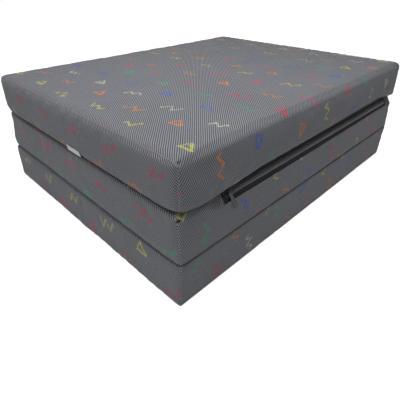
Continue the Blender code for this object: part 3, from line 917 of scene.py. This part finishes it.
def groove_for_pull(points):
    """Keeps the cloth past the zipper's right end below the tab that points along the zipper."""
    along, height = place_on_band(points)
    most = pull_room + pull_room_slope * np.maximum(np.abs(along) - pull_half_width, 0.0)
    over = np.maximum(height - most, 0.0) * (points[:, 0] > zip_right - 0.002)
    points -= over[:, None] * np.array(band_out)


def label_seat():
    """The label's foot, and its directions off the cover and up its slope, as (x, z) each."""
    seat = math.radians(label_seat_degrees)
    low = (side_plane - soft_end_radius * (1 - math.sin(seat)),
           soft_end_radius * (1 - math.cos(seat)))
    high = (side_plane + side_crown * label_dome_rise, label_dome_inset)
    lean = math.atan2(high[0] - low[0], high[1] - low[1])
    out = np.array([-math.cos(lean), -math.sin(lean)])
    up = np.array([-math.sin(lean), math.cos(lean)])
    foot = np.array([-low[0], 2 * panel_thickness + mating_setback + low[1]])
    return foot + out * label_stand_off - up * label_foot, out, up


def press_under_label(points):
    """Keeps the cloth behind the label's inner face."""
    foot, out, up = label_seat()
    from_foot = points[:, [0, 2]] - foot
    over, rise = from_foot @ out, from_foot @ up
    from_middle = np.abs(points[:, 1] - front_plane - label_centre)
    past_y = np.maximum(from_middle - label_length / 2, 0.0)
    past_z = np.maximum(rise - label_rise, 0.0) + np.maximum(-0.003 - rise, 0.0)
    fade = np.exp(-(past_y ** 2 + past_z ** 2) / 0.0045 ** 2)
    push = np.clip(over + label_stand_off, 0.0, 0.008) * fade * (points[:, 0] < 0)
    points[:, [0, 2]] -= push[:, None] * out


def rumple(cover, places, moves):
    """Slack in the cloth: what settling gave, soft hollows, puckers and the pinch of the seams."""
    points = coordinates_of(cover.thing)
    normals = normals_of(cover.thing)
    x, y, z = points.T
    y_in = np.minimum(y - cover.y_front, cover.y_back - y)
    z_in = np.minimum(z - cover.z_low, cover.z_high - z)
    x_in = side_plane - np.abs(x)
    lies, meets = touching(cover, points)
    flat_band = on_band(cover, points)
    soft = hollow_height * smooth_noise(points, (0.16, 0.12, 0.10), 3)
    soft = soft + dent_height * smooth_noise(points, 0.045, 5)
    seam_near = fading(x_in, 0.016) + fading(np.minimum(y_in, z_in), 0.014) * (x_in < 0.004)
    puckers = smooth_noise(points, (0.03, 0.013, 0.013), 8)
    soft += pucker_height * np.clip(seam_near, 0, 1) * puckers
    fold_near = fading(y_in, 0.02) * fading(z_in, 0.012)
    soft += pucker_height * fold_near * smooth_noise(points, (0.014, 0.05, 0.05), 11)
    if len(places):
        spread = spread_moves(points, places, moves)
        outward = np.sum(spread * normals, axis=1)
        sideways = spread - normals * outward[:, None]
        soft += np.clip(outward, -settle_in, settle_out)
        length = np.linalg.norm(sideways, axis=1)
        keep = np.minimum(length, settle_side) / np.maximum(length, 1e-9)
        sideways *= (keep * ~(lies | meets | flat_band))[:, None]
        points += sideways
    soft = np.where(lies | meets, np.minimum(soft, 0.0) - touch_gap, soft)
    soft = np.where(flat_band, 0.0, soft)
    if cover.zipped:
        # the lower lip gapes a little towards the right end, where the zipper was sewn in tight
        past = (x - zip_right + gape_length) / gape_length
        near = np.exp(-((z - band_centre.z) / 0.02) ** 2) * (y < cover.y_front + 0.03)
        soft -= gape_depth * np.clip(past, 0, 1) * near * ~flat_band * (0.5 + 0.5 * np.sin(x * 700))
    part = smooth_step(1 - np.maximum(x_in, 0) / gap_length) * gap_depth
    if cover.name != "top":
        z -= part * smooth_step(1 - (cover.z_high - z) / gap_height)
    if cover.name == "middle":
        z += part * smooth_step(1 - (z - cover.z_low) / gap_height)
    points += normals * soft[:, None]
    degrees = cover.degrees_of_points()
    pinch = np.zeros(len(points))
    pinch[:len(degrees)] = (np.exp(-((degrees - seam_degrees) / seam_spread) ** 2)
                            * (degrees > 0))
    points -= normals * (seam_share * cover.end_radius * pinch)[:, None]
    soften_corners(cover, points)
    if cover.name == "middle":
        # its left end is drawn in towards the back hinge
        drawn = smooth_step((y - 0.20) / 0.115) * smooth_step((z - 0.100) / 0.06)
        x += back_corner_draw * drawn * fading(x + side_plane, 0.02)
        groove_for_pull(points)
    if cover.name == "top":
        press_under_label(points)
    if cover.notch:
        place, depth, size = cover.notch
        near = np.exp(-np.sum((points - np.array(place)) ** 2, axis=1) / size ** 2)
        points += near[:, None] * (notch_way * depth)
    cover.thing.data.vertices.foreach_set("co", points.astype(np.float32).ravel())
    cover.thing.data.update()


def stitches(name, runs, material, radius=stitch_radius):
    """Short rounded threads, one for each (start, end, outward) in runs."""
    verts, faces = [], []
    sides = 5
    # share of the length, share of the radius, and lift in radii, of each ring
    shape = ((0.0, 0.45, -0.5), (0.25, 1.0, 0.35), (0.75, 1.0, 0.35), (1.0, 0.45, -0.5))
    for start, end, out in runs:
        start, end, out = Vector(start), Vector(end), Vector(out).normalized()
        across = (end - start).normalized().cross(out).normalized()
        first = len(verts)
        for share, size, lift in shape:
            centre = start.lerp(end, share) + out * radius * lift
            for k in range(sides):
                angle = 2 * math.pi * k / sides
                way = across * math.cos(angle) + out * math.sin(angle)
                verts.append(centre + way * radius * size)
        for ring in range(len(shape) - 1):
            for k in range(sides):
                a = first + ring * sides + k
                b = first + ring * sides + (k + 1) % sides
                faces.append((a, b, b + sides, a + sides))
        faces.append(tuple(first + k for k in range(sides))[::-1])
        faces.append(tuple(len(verts) - sides + k for k in range(sides)))
    return new_mesh_object(name, verts, faces, material)


def runs_along(points, outs, pitch, length, closed=True):
    """Start, end and outward direction of stitches set out along a line of points."""
    points, outs = np.asarray(points), np.asarray(outs)
    if closed:
        points = np.vstack([points, points[:1]])
        outs = np.vstack([outs, outs[:1]])
    gaps = np.linalg.norm(np.diff(points, axis=0), axis=1)
    at = np.concatenate([[0.0], np.cumsum(gaps)])
    count = int(at[-1] / pitch)
    starts = (np.arange(count) + 0.5) * at[-1] / count - length / 2

    def sample(where, values):
        return np.stack([np.interp(where, at, values[:, k]) for k in range(3)], 1)

    middles = starts + length / 2
    return zip(sample(starts, points), sample(starts + length, points), sample(middles, outs))


def gusset_stitches(cover, material):
    points = coordinates_of(cover.thing)
    normals = normals_of(cover.thing)
    runs = []
    for index, station in enumerate(cover.stations_used):
        if station[3] == seam_degrees:
            ring = slice(index * cover.ring_count, (index + 1) * cover.ring_count)
            runs += runs_along(points[ring], normals[ring], stitch_pitch, stitch_length)
    return stitches("gusset_stitches_" + cover.name, runs, material)


def foam_block(cover, material):
    """The foam inside the cover, as a finer block than the CAD's, a little in from the cloth."""
    rings = []
    for degrees in (90, 60, 30, 0):
        angle = math.radians(degrees)
        x = foam_end - foam_end_radius + foam_end_radius * math.sin(angle)
        rings.append((-x, foam_inset + foam_end_radius * (1 - math.cos(angle))))
    straight = foam_end - foam_end_radius
    middle = [(float(x), foam_inset) for x in np.linspace(-straight, straight, 34)[1:-1]]
    rings = rings + middle + [(-x, inset) for x, inset in reversed(rings)]
    plain = copy.copy(cover)
    plain.short_count, plain.long_count = 5, 30
    sections = []
    for x, inset in rings:
        section = plain.ring_in_space(x, inset)
        if cover.zipped:
            height = (section[:, 1:] - np.array(band_centre.yz)) @ out_yz
            over = np.maximum(height + foam_under_band, 0.0)
            section[:, 1:] -= out_yz * over[:, None]
        sections.append(section)
    verts = np.concatenate(sections)
    soften_corners(cover, verts, foam_inset)
    sections = verts.reshape(len(rings), -1, 3)
    return closed_skin("foam_block_" + cover.name, sections, material)


def hinge_bead(name, centre, material):
    """The turned seam allowance of a hinge, gathered a little by its stitches."""
    angles = np.linspace(0, 2 * math.pi, 20, endpoint=False)
    lobes = 1 - 0.05 * (1 - np.cos(4 * angles)) / 2
    sections = []
    for x in np.linspace(-bead_end, bead_end, 640):
        gather = 0.5 + 0.5 * math.sin(2 * math.pi * x / gather_pitch)
        pull = float(smooth_noise(np.array([[x, *centre]]), 0.022, 17)[0])
        size = bead_radius * (0.90 + 0.06 * gather + 0.035 * pull)
        y = centre[0] + size * lobes * np.cos(angles)
        z = centre[1] + size * lobes * np.sin(angles)
        sections.append(np.column_stack([np.full(len(angles), x), y, z]))
    return closed_skin(name, sections, material)


def band_point(x, along, height):
    return Vector((x, 0, 0)) + band_centre + band_uphill * along + band_out * height


def zipper_tape(name, sign, material):
    """One woven tape: fine ribs along it and a slight wave."""
    sections = []
    for x in np.linspace(zip_left + 0.0002, zip_right - 0.0002, 230):
        outer = tape_outer * (lower_share(x) if sign < 0 else 1.0)
        across = np.linspace(tape_inner, outer, 30)
        section = []
        for along in across:
            rib = tape_rib_height * math.cos(2 * math.pi * (along - tape_inner) / tape_rib_pitch)
            height = tape_top - tape_sink + rib + tape_wave_at(x, along)
            section.append(band_point(x, sign * along, height))
        for along in across[::-1]:
            height = tape_top - tape_thickness + tape_wave_at(x, along)
            section.append(band_point(x, sign * along, height))
        sections.append(section)
    return closed_skin(name, sections, material)


def tape_wave_at(x, along):
    return tape_wave * float(math.sin(x * 61 + along * 90) * math.sin(x * 23 + 1.3))


def coil_row(name, sign, material):
    """One row of the coil: a wire in flat loops whose heads lie between the other row's."""
    turns = int((coil_end - coil_start) / coil_pitch)
    per_turn, sides = 12, 5
    centres = []
    for step in range(turns * per_turn + 1):
        turn = step / per_turn
        angle = 2 * math.pi * turn
        squared = math.copysign(abs(math.cos(angle)) ** 0.7, math.cos(angle))
        lean = coil_lean * math.sin(angle)
        x = coil_start + coil_pitch * (turn + (0.5 if sign < 0 else 0.0)) * 0.997 + lean
        along = sign * (coil_middle - coil_reach * squared)
        centres.append((x, along, coil_sink + coil_rise * math.sin(angle)))
    sections = []
    for index, (x, along, height) in enumerate(centres):
        before = Vector(centres[max(index - 1, 0)])
        after = Vector(centres[min(index + 1, len(centres) - 1)])
        tangent = (after - before).normalized()
        side = tangent.cross(Vector((1, 0, 0))).normalized()
        up = side.cross(tangent).normalized()
        section = []
        for k in range(sides):
            angle = 2 * math.pi * k / sides
            offset = side * math.cos(angle) * coil_wire + up * math.sin(angle) * coil_wire
            section.append(band_point(x + offset.x, along + offset.y, height + offset.z))
        sections.append(section)
    return closed_skin(name, sections, material)


def band_stitches(name, ends, lines, pitch, length, radius, material):
    """Rows of thread along the band, each as (distance up its slope at x, height over it)."""
    places = np.linspace(*ends, 200)
    runs = []
    for along_at, height in lines:
        points = [band_point(x, along_at(x), height) for x in places]
        runs += runs_along(points, [band_out] * len(places), pitch, length, closed=False)
    return stitches(name, runs, material, radius)


def zipper_topstitches(material):
    """The seams that hold the tapes, a little back from both lips of the cover."""
    lines = (
        (lambda x: -(zip_lip * lower_share(x) + topstitch_setback), 0.00002),
        (lambda x: zip_lip + topstitch_setback, -0.00004),
    )
    ends = (zip_left + 0.002, zip_right - 0.002)
    return band_stitches("zipper_topstitches", ends, lines, 0.0036, 0.0027, 0.00028, material)


def coil_stitches(material):
    """The two rows of thread that hold the coil to its tapes."""
    lines = (
        (lambda x: -coil_stitch_place, coil_stitch_height),
        (lambda x: coil_stitch_place, coil_stitch_height),
    )
    ends = (coil_start, coil_end)
    return band_stitches("zipper_coil_stitches", ends, lines, 0.0022, 0.0018, 0.00046, material)


def care_label(material):
    """A folded woven ribbon that rises from the seam and lies on the slope of the top's end."""
    foot, out_way, up_way = label_seat()
    half = label_leaf_half
    spread = label_thickness / 2 - half
    bend_height = label_rise - spread - half
    path = [(half, bend_height * share) for share in np.linspace(0, 1, 9)]
    for degrees in np.linspace(0, 180, 9)[1:-1]:
        angle = math.radians(degrees)
        path.append((half + spread - spread * math.cos(angle),
                     bend_height + spread * math.sin(angle)))
    path += [(label_thickness - half, bend_height * share) for share in np.linspace(1, 0, 9)]
    count = len(path)
    sections = []
    for along in np.linspace(-label_length / 2, label_length / 2, 48):
        y = front_plane + label_centre + along
        wave = 0.00022 * math.sin(along * 190 + 0.6) + 0.00010 * math.sin(along * 470)
        section = []
        for side in (1, -1):
            for index in range(count)[::side]:
                before = path[max(index - 1, 0)]
                after = path[min(index + 1, count - 1)]
                run = math.dist(before, after)
                out = path[index][0] + side * half * (after[1] - before[1]) / run
                up = path[index][1] - side * half * (after[0] - before[0]) / run
                out += max(wave, -0.0002) * up / label_rise
                out += label_foot_lean * (1 - up / label_rise)
                x, z = foot + out * out_way + up * up_way
                section.append((x, y, z))
        sections.append(section)
    return closed_skin("care_label_ribbon", sections, material)


cloth = cover_cloth_material()
foam = foam_material()
thread = plain_weave_material(
    "seam_thread", (0.40, 0.40, 0.41, 1), (0.20, 0.20, 0.21, 1), 0.0008, 0.8, 0.0002)
seam_cloth = plain_weave_material(
    "seam_cloth", (0.130, 0.130, 0.142, 1), (0.050, 0.050, 0.058, 1), 0.0014, 0.86, 0.0003)
tape_cloth = plain_weave_material(
    "zipper_tape_cloth", (0.020, 0.020, 0.023, 1), (0.006, 0.006, 0.007, 1), 0.0009, 0.82, 0.0002)
ribbon = plain_weave_material(
    "label_ribbon", (0.78, 0.81, 0.80, 1), (0.60, 0.63, 0.63, 1), 0.0007, 0.6, 0.0001,
    Sheen_Weight=0.2)
coil_thread = plain_weave_material(
    "coil_thread", (0.62, 0.63, 0.66, 1), (0.36, 0.37, 0.40, 1), 0.0006, 0.7, 0.0001)
nylon = nylon_coil_material()
metal = gunmetal_material()

covers = [
    Cover("bottom", "bottom_panel",
          (front_plane + mating_setback, back_plane, 0.0, panel_thickness - mating_setback),
          (base_front_radius, hinge_edge_radius, base_edge_radius, back_tip_radius),
          (0, end_crown, 0), (front_recess, 0), tight_end_radius, False, (0.113, 0.021),
          corner_radii=(0.005, 0.007)),
    Cover("middle", "middle_panel",
          (front_plane + mating_setback, back_plane - mating_setback,
           panel_thickness + mating_setback, 2 * panel_thickness - mating_setback),
          (hinge_edge_radius, zip_plain_radius, crease_back_radius, hinge_edge_radius),
          (0, 0, 0), (0, front_recess), tight_end_radius, True, (0.317, 0.404),
          corner_radii=(0.007, 0.007), notch=((-0.3980, -0.3120, 0.1710), 0.0110, 0.0027)),
    Cover("top", "top_panel",
          (front_plane, back_plane - mating_setback,
           2 * panel_thickness + mating_setback, 3 * panel_thickness),
          (crease_front_radius, soft_edge_radius, hinge_edge_radius, soft_edge_radius),
          (end_crown, 0, top_crown), (0, 0), drawn_end_radius, False, (0.521, 0.832),
          corner_radii=(0.019, 0.009), side_rounding=0.012,
          notch=((-0.3950, -0.3120, 0.2655), 0.0070, 0.0022)),
]

for cover in covers:
    thing = cover.build(cloth)
    places, moves = settle(cover, cloth)
    rumple(cover, places, moves)
    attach(thing, cover.body)
    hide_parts("cover_wrap_" + cover.name, "side_gusset_left_" + cover.name,
                "side_gusset_right_" + cover.name)
    block = foam_block(cover, foam)
    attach(block, cover.body)
    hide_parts("foam_core_" + cover.name)
    seam = gusset_stitches(cover, thread)
    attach(seam, cover.body)

for name, body, centre in (
    ("lower", "bottom_panel", (front_plane, panel_thickness)),
    ("upper", "middle_panel", (back_plane, 2 * panel_thickness)),
):
    bead = hinge_bead("hinge_seam_sewn_" + name, centre, seam_cloth)
    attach(bead, body)
    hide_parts("hinge_seam_" + name)

for name, sign in (("upper", 1), ("lower", -1)):
    tape = zipper_tape("zipper_tape_woven_" + name, sign, tape_cloth)
    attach(tape, "middle_panel")
    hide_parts("zipper_tape_" + name)
    row = coil_row("zipper_coil_" + name, sign, nylon)
    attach(row, "middle_panel")
    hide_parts("zipper_chain_" + name)

topstitches = zipper_topstitches(thread)
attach(topstitches, "middle_panel")

coil_threads = coil_stitches(coil_thread)
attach(coil_threads, "middle_panel")

label = care_label(ribbon)
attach(label, "top_panel")
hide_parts("care_label")

for name in ("zipper_top_stop_upper", "zipper_top_stop_lower", "zipper_bottom_stop",
             "zipper_slider", "zipper_pull"):
    for material_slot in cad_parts[name].material_slots:
        material_slot.material = metal

floor_size = 9.0
floor_count = 13
floor_level = -0.0002
floor_steps = np.linspace(-floor_size, floor_size, floor_count)
floor = new_mesh_object(
    "studio_floor",
    [(float(x), float(y), floor_level) for y in floor_steps for x in floor_steps],
    [
        (j * floor_count + i, j * floor_count + i + 1,
         (j + 1) * floor_count + i + 1, (j + 1) * floor_count + i)
        for j in range(floor_count - 1) for i in range(floor_count - 1)
    ],
    floor_material(), smooth=False)

# The backdrop is white to the camera, and lights the object faintly
world = Graph("studio_world", "worlds")
bpy.context.scene.world = world.owner
path = world.node("ShaderNodeLightPath")
seen = world.math("MAXIMUM", path.outputs["Is Camera Ray"], path.outputs["Is Transmission Ray"])
strength = world.fill(world.node("ShaderNodeMapRange"), seen, 0.0, 1.0, 0.16, 1.0)
world.fill_named(world.tree.nodes["Background"], Color=(1.0, 1.0, 1.0, 1.0), Strength=strength)


def soft_light(name, location, target, size, power):
    data = bpy.data.lights.new(name, "AREA")
    data.shape = "SQUARE"
    data.size = size
    data.energy = power
    thing = bpy.data.objects.new(name, data)
    bpy.context.scene.collection.objects.link(thing)
    thing.location = location
    aim = Vector(target) - Vector(location)
    thing.rotation_euler = aim.to_track_quat("-Z", "Y").to_euler()


soft_light("overhead_softbox", (-0.28, -0.26, 1.60), (-0.25, -0.22, 0.2), 1.15, 22.0)
soft_light("left_softbox", (-1.50, -0.36, 0.50), (-0.4, -0.1, 0.15), 0.9, 2.5)
soft_light("back_softbox", (1.7, 2.3, 0.90), (0.2, 0.1, 0.15), 1.4, 7.0)

# The camera that was fitted to the photo
camera_data = bpy.data.cameras.new("photo_camera")
camera_data.sensor_width = 36.0
camera_data.lens = 32.457
camera_data.shift_x = 0.0125
camera_data.shift_y = -0.0875
camera = bpy.data.objects.new("photo_camera", camera_data)
bpy.context.scene.collection.objects.link(camera)
camera.location = (-0.66900, -0.62168, 0.48701)
camera.rotation_euler = (math.radians(61.6114), math.radians(0.2891), math.radians(-44.6601))
bpy.context.scene.camera = camera
bpy.context.scene.view_settings.view_transform = "Standard"
